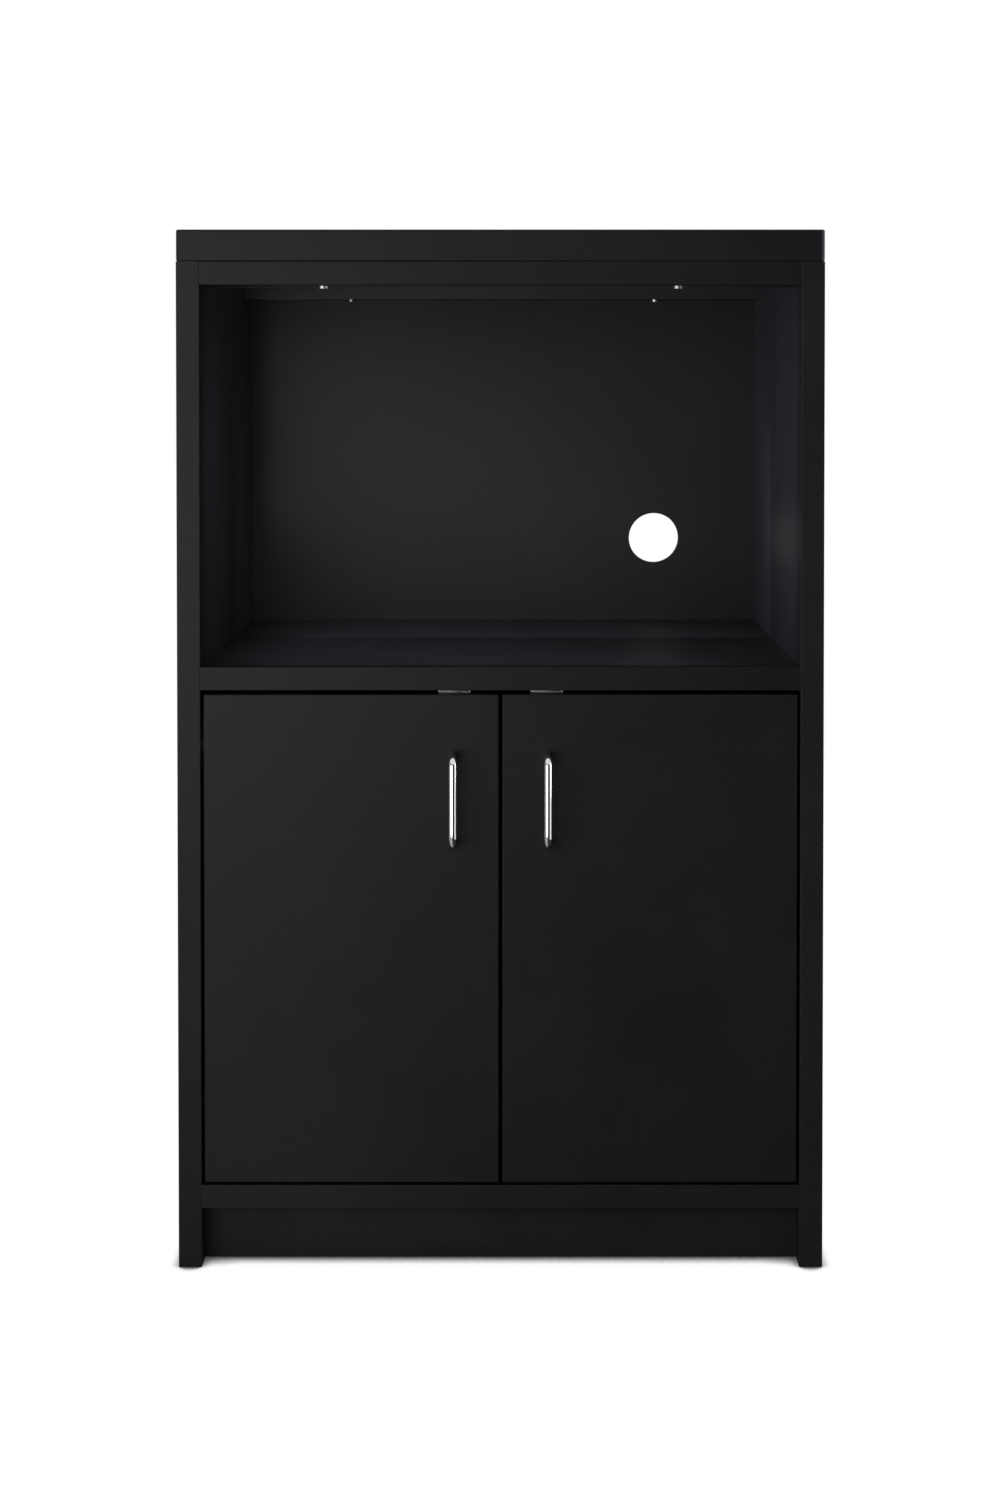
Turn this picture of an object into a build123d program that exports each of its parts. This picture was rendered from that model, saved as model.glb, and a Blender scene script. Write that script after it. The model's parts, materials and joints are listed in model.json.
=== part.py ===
from build123d import *
import os

# Microwave cabinet, in millimetres. The origin is on the floor, at the centre of the footprint.
# +X is to the right as you face it, the front faces -Y and +Z is up.

# Carcass
WIDTH = 610.0
HEIGHT = 982.0
BODY_DEPTH = 482.0
BOARD = 22.0
TOP_THICKNESS = 30.0
BACK_THICKNESS = 12.0
PLINTH_HEIGHT = 56.0
TOE_SETBACK = 28.0
DOOR_OPENING_HEIGHT = 470.0
STRETCHER_DEPTH = 70.0
BACK_REBATE = 11.0
TOP_CORNER_ROUND = 3.0
TOP_EDGE_ROUND = 1.8
BOARD_EDGE_ROUND = 0.8

# Cable hole in the back panel
CABLE_HOLE_DIAMETER = 56.0
CABLE_HOLE_RIGHT = 170.0
CABLE_HOLE_OVER_SHELF = 92.5

# Doors
DOOR_THICKNESS = 19.0
DOOR_SIDE_GAP = 3.0
DOOR_MIDDLE_GAP = 3.5
DOOR_TOP_GAP = 4.0
DOOR_BOTTOM_GAP = 3.0
DOOR_EDGE_ROUND = 1.0

# Pulls, bent from round bar
PULL_BAR = 8.0
PULL_CENTRES = 82.0
PULL_PROJECTION = 32.0
PULL_BEND = 9.0
PULL_FROM_DOOR_EDGE = 42.75
PULL_BELOW_DOOR_TOP = 98.0

# Concealed hinges. Places in a hinge are (u, v): u from the door's hinge edge towards the
# door's middle, v from the door's front face into the cabinet.
HINGE_BELOW_DOOR_TOP = 53.6
HINGE_OVER_DOOR_BOTTOM = 67.3
CUP_DIAMETER = 35.0
CUP_DEPTH = 11.5
CUP_WALL = 0.6
CUP_CENTRE_U = 22.5
CUP_FLANGE = 1.0
CUP_SCREW_U = 32.0
CUP_SCREW_SPACING = 45.0
CUP_PIVOT = (8.4, 15.1)
LINK_ELBOW = (11.6, 9.9)
ARM_PIVOT = (35.0, 16.0)
ARM_CRANK_OUTER = [(24.0, 29.5), (9.5, 36.0)]
ARM_CRANK_INNER = [(0.0, 33.5), (6.0, 29.5), (20.5, 24.4)]
ARM_TIP_INNER_V = 21.4
ARM_TIP_OUTER_V = 24.5
LINK_THICKNESS = 2.2
LINK_WIDTH = 8.4
LINK_EYE_RADIUS = 1.9
LINK_SIDE_GAP = 0.3
LUG = 1.0
LUG_HALF = 1.7
CUP_LIP = 1.5
CUP_WING = 11.0
CUP_PIN_DIAMETER = 2.0
ARM_SHEET = 1.4
ARM_WIDTH = 21.6
ARM_BACK_V = 86.0
ARM_STRAIGHT_V = 40.0
ARM_HEIGHT = 11.0
PLATE_THICKNESS = 2.0
PLATE_WING_HEIGHT = 49.0
PLATE_WING_WIDTH = 14.0
PLATE_SCREW_SPACING = 32.0
PLATE_SCREW_V = 56.0
PLATE_BLOCK_WIDTH = 14.0
ARM_SHOULDER = 8.0
ARM_FOOT_GAP = 1.0
EAR_RADIUS = 2.2
RIVET_DIAMETER = 3.0
RIVET_HEAD = 4.0
RIVET_HEAD_HEIGHT = 0.6
ARM_SCREW_VS = (54.0, 74.0)
ARM_SCREW_DIAMETER = 4.0
ARM_SCREW_LENGTH = 6.0
ARM_SCREW_HEAD = 7.0
ARM_SCREW_HEAD_HEIGHT = 2.2

# Magnetic catches
CATCH_FROM_MIDDLE = 44.0
CATCH_WIDTH = 30.0
CATCH_HEIGHT = 16.0
CATCH_DEPTH = 15.0
CATCH_TAB = 13.0
CATCH_SHEET = 1.2
STRIKE_WIDTH = 28.0
STRIKE_HEIGHT = 13.0
STRIKE_THICKNESS = 1.0
STRIKE_CORNER = 2.0
STRIKE_SINK = 0.5
CATCH_AIR = 0.3
CATCH_POLE = 1.6
CASE_SETBACK = 0.4
MAGNET_SETBACK = 1.2

# Adjustable shelf
SHELF_THICKNESS = 18.0
SHELF_SIDE_GAP = 1.0
SHELF_SETBACK = 45.0
SHELF_PIN_DIAMETER = 5.0
SHELF_PIN_DEPTH = 9.0
SHELF_PIN_REACH = 8.0
SHELF_PIN_COLLAR = 8.0
SHELF_PIN_COLLAR_GAP = 0.2
SHELF_PIN_STEP = 64.0
SHELF_PIN_INSET = 40.0

# Dowels and screws
DOWEL_DIAMETER = 8.0
DOWEL_LENGTH = 30.0
DOWEL_IN_SIDE = 11.0
DOWEL_INSET = 60.0
TOP_SCREW_FROM_MIDDLE = 169.0
TOP_SCREW_DIAMETER = 4.5
TOP_SCREW_IN_TOP = 18.0
TOP_SCREW_HEAD = 11.0
TOP_SCREW_HEAD_HEIGHT = 2.2
BACK_SCREW_DIAMETER = 3.5
BACK_SCREW_HEAD = 7.0
BACK_SCREW_LENGTH = 28.0
PULL_SCREW_DIAMETER = 4.0
PULL_SCREW_IN_FOOT = 9.0
PULL_SCREW_HEAD = 8.0
PULL_SCREW_HEAD_HEIGHT = 2.4
SMALL_SCREW_DIAMETER = 3.5
SMALL_SCREW_HEAD = 6.4
SMALL_SCREW_HEAD_HEIGHT = 1.6
SMALL_SCREW_LENGTH = 13.0
STRIKE_SCREW_LENGTH = 10.0
PILOT_TIP = 1.0
RECESS_LENGTH = 0.5
RECESS_WIDTH = 0.12
FIT = 0.1
PIN_FIT = 0.05

# Places worked out from the sizes above
half_width = WIDTH / 2
inner_half = half_width - BOARD
side_height = HEIGHT - TOP_THICKNESS
front = (PULL_PROJECTION - BODY_DEPTH) / 2
rear = front + BODY_DEPTH
back_face = rear - BACK_THICKNESS
bottom_top = PLINTH_HEIGHT + BOARD
shelf_bottom = bottom_top + DOOR_OPENING_HEIGHT
shelf_top = shelf_bottom + BOARD
stretcher_bottom = side_height - BOARD
toe_front = front + TOE_SETBACK
back_stretcher_front = back_face - STRETCHER_DEPTH

door_edge = -inner_half + DOOR_SIDE_GAP
door_width = inner_half - DOOR_SIDE_GAP - DOOR_MIDDLE_GAP / 2
door_bottom = bottom_top + DOOR_BOTTOM_GAP
door_top = shelf_bottom - DOOR_TOP_GAP
door_back = front + DOOR_THICKNESS
hinge_levels = (door_bottom + HINGE_OVER_DOOR_BOTTOM, door_top - HINGE_BELOW_DOOR_TOP)
cup_radius = CUP_DIAMETER / 2
cup_x = door_edge + CUP_CENTRE_U

pull_x = -DOOR_MIDDLE_GAP / 2 - PULL_FROM_DOOR_EDGE
pull_middle = door_top - PULL_BELOW_DOOR_TOP
pull_levels = (pull_middle - PULL_CENTRES / 2, pull_middle + PULL_CENTRES / 2)

strike_back = door_back + STRIKE_THICKNESS
catch_front = strike_back + CATCH_AIR
catch_bottom = shelf_bottom - CATCH_HEIGHT
strike_middle = (catch_bottom + door_top) / 2

adjustable_top = (bottom_top + shelf_bottom) / 2
adjustable_bottom = adjustable_top - SHELF_THICKNESS
pin_level = adjustable_bottom - SHELF_PIN_DIAMETER / 2
pin_levels = (pin_level - SHELF_PIN_STEP, pin_level, pin_level + SHELF_PIN_STEP)
pin_front_y = front + SHELF_SETBACK + SHELF_PIN_INSET
pin_back_y = back_face - SHELF_PIN_INSET

dowel_radius = DOWEL_DIAMETER / 2
dowel_in_board = DOWEL_LENGTH - DOWEL_IN_SIDE
panel_dowel_ys = (front + DOWEL_INSET, (front + back_face) / 2, back_face - DOWEL_INSET)
stretcher_dowel = STRETCHER_DEPTH / 4
front_stretcher_ys = (front + stretcher_dowel, front + STRETCHER_DEPTH - stretcher_dowel)
back_stretcher_ys = (back_stretcher_front + stretcher_dowel, back_face - stretcher_dowel)
toe_dowel_y = toe_front + BOARD / 2
toe_dowel_zs = (PLINTH_HEIGHT / 4, PLINTH_HEIGHT * 3 / 4)
side_dowels = [(y, shelf_top - BOARD / 2) for y in panel_dowel_ys]
side_dowels += [(y, bottom_top - BOARD / 2) for y in panel_dowel_ys]
side_dowels += [(y, side_height - BOARD / 2) for y in front_stretcher_ys + back_stretcher_ys]
side_dowels += [(toe_dowel_y, z) for z in toe_dowel_zs]
top_dowel_ys = (front + DOWEL_INSET, back_face - DOWEL_INSET)
top_dowel_xs = (-half_width + BOARD / 2, half_width - BOARD / 2)

top_screw_ys = (front + STRETCHER_DEPTH / 2, back_face - STRETCHER_DEPTH / 2)
top_screw_places = [(x, y) for x in (-TOP_SCREW_FROM_MIDDLE, TOP_SCREW_FROM_MIDDLE) for y in top_screw_ys]

back_half_width = inner_half + BACK_REBATE
back_height = side_height - PLINTH_HEIGHT
back_screw_x = back_half_width - BACK_REBATE / 2
back_side_screw_zs = [PLINTH_HEIGHT + back_height * share for share in (0.06, 0.28, 0.5, 0.72, 0.94)]
back_row_zs = (bottom_top - BOARD / 2, shelf_top - BOARD / 2, side_height - BOARD / 2)
back_screw_places = [(x, z) for x in (-back_screw_x, back_screw_x) for z in back_side_screw_zs]
back_screw_places += [(x, z) for x in (-inner_half / 2, 0, inner_half / 2) for z in back_row_zs]

plate_x = -inner_half
block_top_x = plate_x + ARM_HEIGHT - ARM_SHEET
arm_screw_ys = [front + v for v in ARM_SCREW_VS]
plate_screw_y = front + PLATE_SCREW_V
plate_screw_places = [(plate_screw_y, level + side * PLATE_SCREW_SPACING / 2)
                      for level in hinge_levels for side in (-1, 1)]


def hinge_point(place):
    """A place (u, v) in a hinge of the left door, as x and y."""
    return (door_edge + place[0], front + place[1])


def drill(points, radius, depth, direction):
    """Cut round blind holes from points on a face, in one direction."""
    for point in points:
        with Locations(Plane(origin=point, z_dir=direction)):
            Cylinder(radius, depth, align=(Align.CENTER, Align.CENTER, Align.MIN), mode=Mode.SUBTRACT)


def rods(points, radius, length, direction):
    """Add round rods that start at points and run in one direction."""
    for point in points:
        with Locations(Plane(origin=point, z_dir=direction)):
            Cylinder(radius, length, align=(Align.CENTER, Align.CENTER, Align.MIN))


def block(low, high, mode=Mode.ADD):
    """A box between its lowest and its highest corner."""
    size = [b - a for a, b in zip(low, high)]
    with Locations(tuple((a + b) / 2 for a, b in zip(low, high))):
        Box(*size, mode=mode)


def cross_recess(head, depth):
    """Cut a cross-shaped driver recess into a screw's head."""
    Box(head * RECESS_LENGTH, head * RECESS_WIDTH, depth, mode=Mode.SUBTRACT)
    Box(head * RECESS_WIDTH, head * RECESS_LENGTH, depth, mode=Mode.SUBTRACT)


def screws(points, diameter, length, head, head_height, direction):
    """Pan-head screws: the underside of each head is at its point, the shank runs on from it."""
    back = -Vector(direction)
    rods(points, diameter / 2, length, direction)
    rods(points, head / 2, head_height, back)
    heads = [Vector(point) + back * head_height for point in points]
    for point in heads:
        with Locations(Plane(origin=point, z_dir=direction)):
            cross_recess(head, head_height)


# Top panel, with rounded corners and edges all round
with BuildPart() as top_panel:
    block((-half_width, front, side_height), (half_width, rear, HEIGHT))
    fillet(top_panel.edges().filter_by(Axis.Z), TOP_CORNER_ROUND)
    fillet(top_panel.edges().group_by(Axis.Z)[-1], TOP_EDGE_ROUND)
    fillet(top_panel.edges().group_by(Axis.Z)[0], TOP_EDGE_ROUND)
    drill([(x, y, side_height) for x in top_dowel_xs for y in top_dowel_ys],
          dowel_radius + FIT, DOWEL_IN_SIDE + PILOT_TIP, (0, 0, 1))
    drill([(x, y, side_height) for x, y in top_screw_places],
          TOP_SCREW_DIAMETER / 2 + FIT, TOP_SCREW_IN_TOP + PILOT_TIP, (0, 0, 1))

# Side panel, standing on the floor, rebated at the back for the back panel
with BuildPart() as left_side:
    block((-half_width, front, 0), (-inner_half, rear, side_height))
    fillet(left_side.edges().filter_by(Axis.Z).group_by(Axis.Y)[0], BOARD_EDGE_ROUND)
    block((-inner_half - BACK_REBATE, back_face, 0), (-inner_half, rear, side_height), Mode.SUBTRACT)
    drill([(-inner_half, y, z) for y, z in side_dowels],
          dowel_radius + FIT, DOWEL_IN_SIDE + PILOT_TIP, (-1, 0, 0))
    drill([(top_dowel_xs[0], y, side_height) for y in top_dowel_ys],
          dowel_radius + FIT, dowel_in_board + PILOT_TIP, (0, 0, -1))
    drill([(-inner_half, y, z) for y in (pin_front_y, pin_back_y) for z in pin_levels],
          SHELF_PIN_DIAMETER / 2 + PIN_FIT, SHELF_PIN_DEPTH + PILOT_TIP, (-1, 0, 0))
    drill([(-inner_half, y, z) for y, z in plate_screw_places],
          SMALL_SCREW_DIAMETER / 2 + FIT, SMALL_SCREW_LENGTH, (-1, 0, 0))
    drill([(-back_screw_x, back_face, z) for z in back_side_screw_zs],
          BACK_SCREW_DIAMETER / 2 + FIT, BACK_SCREW_LENGTH - BACK_THICKNESS + PILOT_TIP, (0, -1, 0))

with BuildPart() as right_side:
    mirror(left_side.part, about=Plane.YZ)


def end_holes(ys, z):
    """Dowel holes in both ends of a board between the sides."""
    for side in (-1, 1):
        drill([(side * inner_half, y, z) for y in ys],
              dowel_radius + FIT, dowel_in_board + PILOT_TIP, (-side, 0, 0))


def rear_pilots(z):
    """Pilot holes in a board's back edge for the back panel's screws."""
    drill([(x, back_face, z) for x in (-inner_half / 2, 0, inner_half / 2)],
          BACK_SCREW_DIAMETER / 2 + FIT, BACK_SCREW_LENGTH - BACK_THICKNESS + PILOT_TIP, (0, -1, 0))


# Flat stretchers under the top panel, one at the front and one at the back
with BuildPart() as front_stretcher:
    block((-inner_half, front, stretcher_bottom), (inner_half, front + STRETCHER_DEPTH, side_height))
    fillet(front_stretcher.edges().filter_by(Axis.X).group_by(Axis.Y)[0], BOARD_EDGE_ROUND)
    end_holes(front_stretcher_ys, side_height - BOARD / 2)
    drill([(x, top_screw_ys[0], stretcher_bottom) for x in (-TOP_SCREW_FROM_MIDDLE, TOP_SCREW_FROM_MIDDLE)],
          TOP_SCREW_DIAMETER / 2 + FIT, BOARD, (0, 0, 1))

with BuildPart() as back_stretcher:
    block((-inner_half, back_stretcher_front, stretcher_bottom), (inner_half, back_face, side_height))
    end_holes(back_stretcher_ys, side_height - BOARD / 2)
    rear_pilots(side_height - BOARD / 2)
    drill([(x, top_screw_ys[1], stretcher_bottom) for x in (-TOP_SCREW_FROM_MIDDLE, TOP_SCREW_FROM_MIDDLE)],
          TOP_SCREW_DIAMETER / 2 + FIT, BOARD, (0, 0, 1))

# Middle shelf, the floor of the microwave bay, with the catches screwed up into it
catch_tab_y = catch_front + CATCH_DEPTH + CATCH_TAB / 2
catch_screw_offset = CATCH_WIDTH / 4
catch_xs = (-CATCH_FROM_MIDDLE, CATCH_FROM_MIDDLE)
catch_screw_xs = [x + side * catch_screw_offset for x in catch_xs for side in (-1, 1)]
with BuildPart() as middle_shelf:
    block((-inner_half, front, shelf_bottom), (inner_half, back_face, shelf_top))
    fillet(middle_shelf.edges().filter_by(Axis.X).group_by(Axis.Y)[0], BOARD_EDGE_ROUND)
    end_holes(panel_dowel_ys, shelf_top - BOARD / 2)
    rear_pilots(shelf_top - BOARD / 2)
    drill([(x, catch_tab_y, shelf_bottom) for x in catch_screw_xs],
          SMALL_SCREW_DIAMETER / 2 + FIT, SMALL_SCREW_LENGTH, (0, 0, 1))

# Bottom panel, the floor of the cupboard
with BuildPart() as bottom_panel:
    block((-inner_half, front, PLINTH_HEIGHT), (inner_half, back_face, bottom_top))
    fillet(bottom_panel.edges().filter_by(Axis.X).group_by(Axis.Y)[0], BOARD_EDGE_ROUND)
    end_holes(panel_dowel_ys, bottom_top - BOARD / 2)
    rear_pilots(bottom_top - BOARD / 2)

# Toe kick, set back under the bottom panel and standing on the floor
with BuildPart() as toe_kick:
    block((-inner_half, toe_front, 0), (inner_half, toe_front + BOARD, PLINTH_HEIGHT))
    for level in toe_dowel_zs:
        end_holes((toe_dowel_y,), level)

# Back panel, in the rebates of the sides, with the cable hole and countersunk screw holes
with BuildPart() as back_panel:
    block((-back_half_width, back_face, PLINTH_HEIGHT), (back_half_width, rear, side_height))
    drill([(CABLE_HOLE_RIGHT, back_face, shelf_top + CABLE_HOLE_OVER_SHELF)],
          CABLE_HOLE_DIAMETER / 2, BACK_THICKNESS, (0, 1, 0))
    for x, z in back_screw_places:
        with Locations(Plane(origin=(x, rear, z), z_dir=(0, 1, 0))):
            CounterSinkHole(BACK_SCREW_DIAMETER / 2 + FIT, BACK_SCREW_HEAD / 2 + FIT, depth=BACK_THICKNESS,
                            counter_sink_angle=90)

# Countersunk screws of the back panel, flush with its face
with BuildPart() as back_screws:
    for x, z in back_screw_places:
        with Locations(Plane(origin=(x, rear, z), z_dir=(0, -1, 0))):
            Cylinder(BACK_SCREW_DIAMETER / 2, BACK_SCREW_LENGTH,
                     align=(Align.CENTER, Align.CENTER, Align.MIN))
            Cone(BACK_SCREW_HEAD / 2, BACK_SCREW_DIAMETER / 2, (BACK_SCREW_HEAD - BACK_SCREW_DIAMETER) / 2,
                 align=(Align.CENTER, Align.CENTER, Align.MIN))
            cross_recess(BACK_SCREW_HEAD, (BACK_SCREW_HEAD - BACK_SCREW_DIAMETER) / 2)

# Dowels that hold the boards to the sides, and the sides to the top
with BuildPart() as carcass_dowels:
    for side in (-1, 1):
        rods([(side * (inner_half - dowel_in_board), y, z) for y, z in side_dowels],
             dowel_radius, DOWEL_LENGTH, (side, 0, 0))
    rods([(x, y, side_height - dowel_in_board) for x in top_dowel_xs for y in top_dowel_ys],
         dowel_radius, DOWEL_LENGTH, (0, 0, 1))

# Screws up through the stretchers into the top panel
with BuildPart() as top_screws:
    screws([(x, y, stretcher_bottom) for x, y in top_screw_places], TOP_SCREW_DIAMETER,
           BOARD + TOP_SCREW_IN_TOP, TOP_SCREW_HEAD, TOP_SCREW_HEAD_HEIGHT, (0, 0, 1))

# Adjustable shelf behind the doors, and the four pins it lies on
with BuildPart() as inner_shelf:
    block((-inner_half + SHELF_SIDE_GAP, front + SHELF_SETBACK, adjustable_bottom),
          (inner_half - SHELF_SIDE_GAP, back_face - SHELF_SIDE_GAP, adjustable_top))
    fillet(inner_shelf.edges().filter_by(Axis.X).group_by(Axis.Y)[0], BOARD_EDGE_ROUND)

with BuildPart() as shelf_pins:
    for side in (-1, 1):
        starts = [(side * (inner_half + SHELF_PIN_DEPTH), y, pin_level) for y in (pin_front_y, pin_back_y)]
        rods(starts, SHELF_PIN_DIAMETER / 2, SHELF_PIN_DEPTH + SHELF_PIN_REACH, (-side, 0, 0))
        collars = [(side * inner_half, y, pin_level) for y in (pin_front_y, pin_back_y)]
        rods(collars, SHELF_PIN_COLLAR / 2, SHELF_SIDE_GAP - SHELF_PIN_COLLAR_GAP, (-side, 0, 0))

# Left door: a flat slab with hinge bores, pull holes and pilot holes in its back
cup_screw_places = [(door_edge + CUP_SCREW_U, level + side * CUP_SCREW_SPACING / 2)
                    for level in hinge_levels for side in (-1, 1)]
with BuildPart() as left_door:
    block((door_edge, front, door_bottom), (door_edge + door_width, door_back, door_top))
    fillet(left_door.edges().group_by(Axis.Y)[0], DOOR_EDGE_ROUND)
    drill([(cup_x, door_back, level) for level in hinge_levels],
          cup_radius + FIT, CUP_DEPTH + FIT, (0, -1, 0))
    drill([(x, door_back, z) for x, z in cup_screw_places],
          SMALL_SCREW_DIAMETER / 2 + FIT, SMALL_SCREW_LENGTH - CUP_FLANGE, (0, -1, 0))
    drill([(pull_x, door_back, level) for level in pull_levels],
          PULL_SCREW_DIAMETER / 2 + FIT, DOOR_THICKNESS, (0, -1, 0))
    drill([(-CATCH_FROM_MIDDLE, door_back, strike_middle)],
          SMALL_SCREW_DIAMETER / 2 + FIT, STRIKE_SCREW_LENGTH, (0, -1, 0))

# Left pull: one length of round bar bent into two feet, each tapped for a screw
with BuildPart() as left_pull:
    bar_y = front - PULL_PROJECTION + PULL_BAR / 2
    with BuildLine() as pull_path:
        FilletPolyline((pull_x, front, pull_levels[0]), (pull_x, bar_y, pull_levels[0]),
                       (pull_x, bar_y, pull_levels[1]), (pull_x, front, pull_levels[1]), radius=PULL_BEND)
    with BuildSketch(Plane(origin=(pull_x, front, pull_levels[0]), z_dir=(0, -1, 0))):
        Circle(PULL_BAR / 2)
    sweep()
    drill([(pull_x, front, level) for level in pull_levels],
          PULL_SCREW_DIAMETER / 2 + FIT, PULL_SCREW_IN_FOOT + PILOT_TIP, (0, -1, 0))

with BuildPart() as left_pull_screws:
    screws([(pull_x, door_back, level) for level in pull_levels], PULL_SCREW_DIAMETER,
           DOOR_THICKNESS + PULL_SCREW_IN_FOOT, PULL_SCREW_HEAD, PULL_SCREW_HEAD_HEIGHT, (0, -1, 0))

# Hinge cups: a pressed cup in the door's bore, with a flange that carries two screws
flange_back = door_back + CUP_FLANGE
cup_pivot_x, cup_pivot_y = hinge_point(CUP_PIVOT)
lug_inside = LINK_WIDTH / 2 + LINK_SIDE_GAP
lug_x = cup_x - (cup_radius ** 2 - (lug_inside + LUG) ** 2) ** 0.5 + CUP_WALL / 4
cup_pin_length = 2 * (lug_inside + LUG)
with BuildPart() as left_hinge_cups:
    for level in hinge_levels:
        with BuildSketch(Plane(origin=(cup_x, door_back, level), x_dir=(1, 0, 0), z_dir=(0, 1, 0))):
            Circle(cup_radius + CUP_LIP)
            with Locations((CUP_SCREW_U - CUP_CENTRE_U, 0)):
                SlotCenterToCenter(CUP_SCREW_SPACING, CUP_WING, rotation=90)
        extrude(amount=CUP_FLANGE)
        with Locations(Plane(origin=(cup_x, door_back, level), z_dir=(0, -1, 0))):
            Cylinder(cup_radius, CUP_DEPTH, align=(Align.CENTER, Align.CENTER, Align.MIN))
        drill([(cup_x, flange_back, level)],
              cup_radius - CUP_WALL, CUP_DEPTH + CUP_FLANGE - CUP_WALL, (0, -1, 0))
        for side in (-1, 1):
            lug_low = level + side * (lug_inside + LUG / 2) - LUG / 2
            block((lug_x, cup_pivot_y - LUG_HALF, lug_low),
                  (cup_pivot_x + LUG_HALF, flange_back, lug_low + LUG))
    drill([(x, flange_back, z) for x, z in cup_screw_places], SMALL_SCREW_DIAMETER / 2 + FIT,
          CUP_FLANGE, (0, -1, 0))
    drill([(cup_pivot_x, cup_pivot_y, level - cup_pin_length / 2) for level in hinge_levels],
          CUP_PIN_DIAMETER / 2 + PIN_FIT, cup_pin_length, (0, 0, 1))

with BuildPart() as left_cup_screws:
    screws([(x, flange_back, z) for x, z in cup_screw_places], SMALL_SCREW_DIAMETER,
           SMALL_SCREW_LENGTH, SMALL_SCREW_HEAD, SMALL_SCREW_HEAD_HEIGHT, (0, -1, 0))

# Pins of the cups, on which the hinge links turn
with BuildPart() as left_cup_pins:
    rods([(cup_pivot_x, cup_pivot_y, level - cup_pin_length / 2) for level in hinge_levels],
         CUP_PIN_DIAMETER / 2, cup_pin_length, (0, 0, 1))

# Hinge links: bent strips with an eye on the cup's pin and a free eye between the arm's ears
with BuildPart() as left_hinge_links:
    for level in hinge_levels:
        with BuildSketch(Plane.XY.offset(level - LINK_WIDTH / 2)) as link_profile:
            with BuildLine():
                Polyline(hinge_point(CUP_PIVOT), hinge_point(LINK_ELBOW), hinge_point(ARM_PIVOT))
            trace(line_width=LINK_THICKNESS)
            with Locations(hinge_point(CUP_PIVOT), hinge_point(ARM_PIVOT), hinge_point(LINK_ELBOW)):
                Circle(LINK_THICKNESS / 2)
            with Locations(hinge_point(CUP_PIVOT), hinge_point(ARM_PIVOT)):
                Circle(LINK_EYE_RADIUS)
                Circle(CUP_PIN_DIAMETER / 2 + PIN_FIT, mode=Mode.SUBTRACT)
        extrude(amount=LINK_WIDTH)

# Hinge arms: a channel along the side, cranked to two ears that reach into the cup
ear_inside = LINK_WIDTH / 2 + LINK_SIDE_GAP
ear_outside = ear_inside + ARM_SHEET
hollow_half = ARM_WIDTH / 2 - ARM_SHEET
arm_top_u = ARM_HEIGHT - DOOR_SIDE_GAP
arm_low_u = PLATE_THICKNESS + ARM_FOOT_GAP - DOOR_SIDE_GAP
arm_shoulder_v = ARM_STRAIGHT_V + ARM_SHOULDER
pivot_u, pivot_v = ARM_PIVOT
ear_outline = [(pivot_u - EAR_RADIUS, pivot_v), (pivot_u + EAR_RADIUS, pivot_v),
               (pivot_u + EAR_RADIUS, ARM_TIP_OUTER_V)]
ear_outline += ARM_CRANK_OUTER
ear_outline += [(arm_top_u, ARM_STRAIGHT_V), (arm_top_u, arm_shoulder_v), (arm_low_u, arm_shoulder_v)]
ear_outline += ARM_CRANK_INNER
ear_outline += [(pivot_u - EAR_RADIUS, ARM_TIP_INNER_V)]
web_outline = ARM_CRANK_OUTER + [(arm_top_u, ARM_STRAIGHT_V), (arm_top_u, arm_shoulder_v)]
web_outline += [(u - ARM_SHEET, v - ARM_SHEET / 2) for u, v in reversed(web_outline)]
with BuildPart() as left_hinge_arms:
    for level in hinge_levels:
        for low in (level - ear_outside, level + ear_inside):
            with BuildSketch(Plane.XY.offset(low)):
                Polygon(*[hinge_point(place) for place in ear_outline], align=None)
                with Locations(hinge_point(ARM_PIVOT)):
                    Circle(EAR_RADIUS)
                    Circle(RIVET_DIAMETER / 2, mode=Mode.SUBTRACT)
            extrude(amount=ARM_SHEET)
        with BuildSketch(Plane.XY.offset(level - ear_inside)):
            Polygon(*[hinge_point(place) for place in web_outline], align=None)
        extrude(amount=2 * ear_inside)
        arm_low_x, arm_start_y = hinge_point((arm_low_u, ARM_STRAIGHT_V))
        arm_top_x, arm_end_y = hinge_point((arm_top_u, ARM_BACK_V))
        block((arm_low_x, arm_start_y, level - ARM_WIDTH / 2), (arm_top_x, arm_end_y, level + ARM_WIDTH / 2))
        block((arm_low_x, arm_start_y, level - ear_inside),
              (arm_top_x - ARM_SHEET, arm_end_y, level + ear_inside), Mode.SUBTRACT)
        block((arm_low_x, arm_start_y + ARM_SHOULDER, level - hollow_half),
              (arm_top_x - ARM_SHEET, arm_end_y, level + hollow_half), Mode.SUBTRACT)
    drill([(arm_top_x, y, level) for level in hinge_levels for y in arm_screw_ys],
          ARM_SCREW_DIAMETER / 2 + FIT, ARM_SHEET, (-1, 0, 0))

# Rivets in the ears of the arms
with BuildPart() as left_arm_rivets:
    rivet_x, rivet_y = hinge_point(ARM_PIVOT)
    for level in hinge_levels:
        for side in (-1, 1):
            rods([(rivet_x, rivet_y, level + side * ear_inside)],
                 RIVET_DIAMETER / 2 - PIN_FIT, ARM_SHEET, (0, 0, side))
            rods([(rivet_x, rivet_y, level + side * ear_outside)],
                 RIVET_HEAD / 2, RIVET_HEAD_HEIGHT, (0, 0, side))

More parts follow.
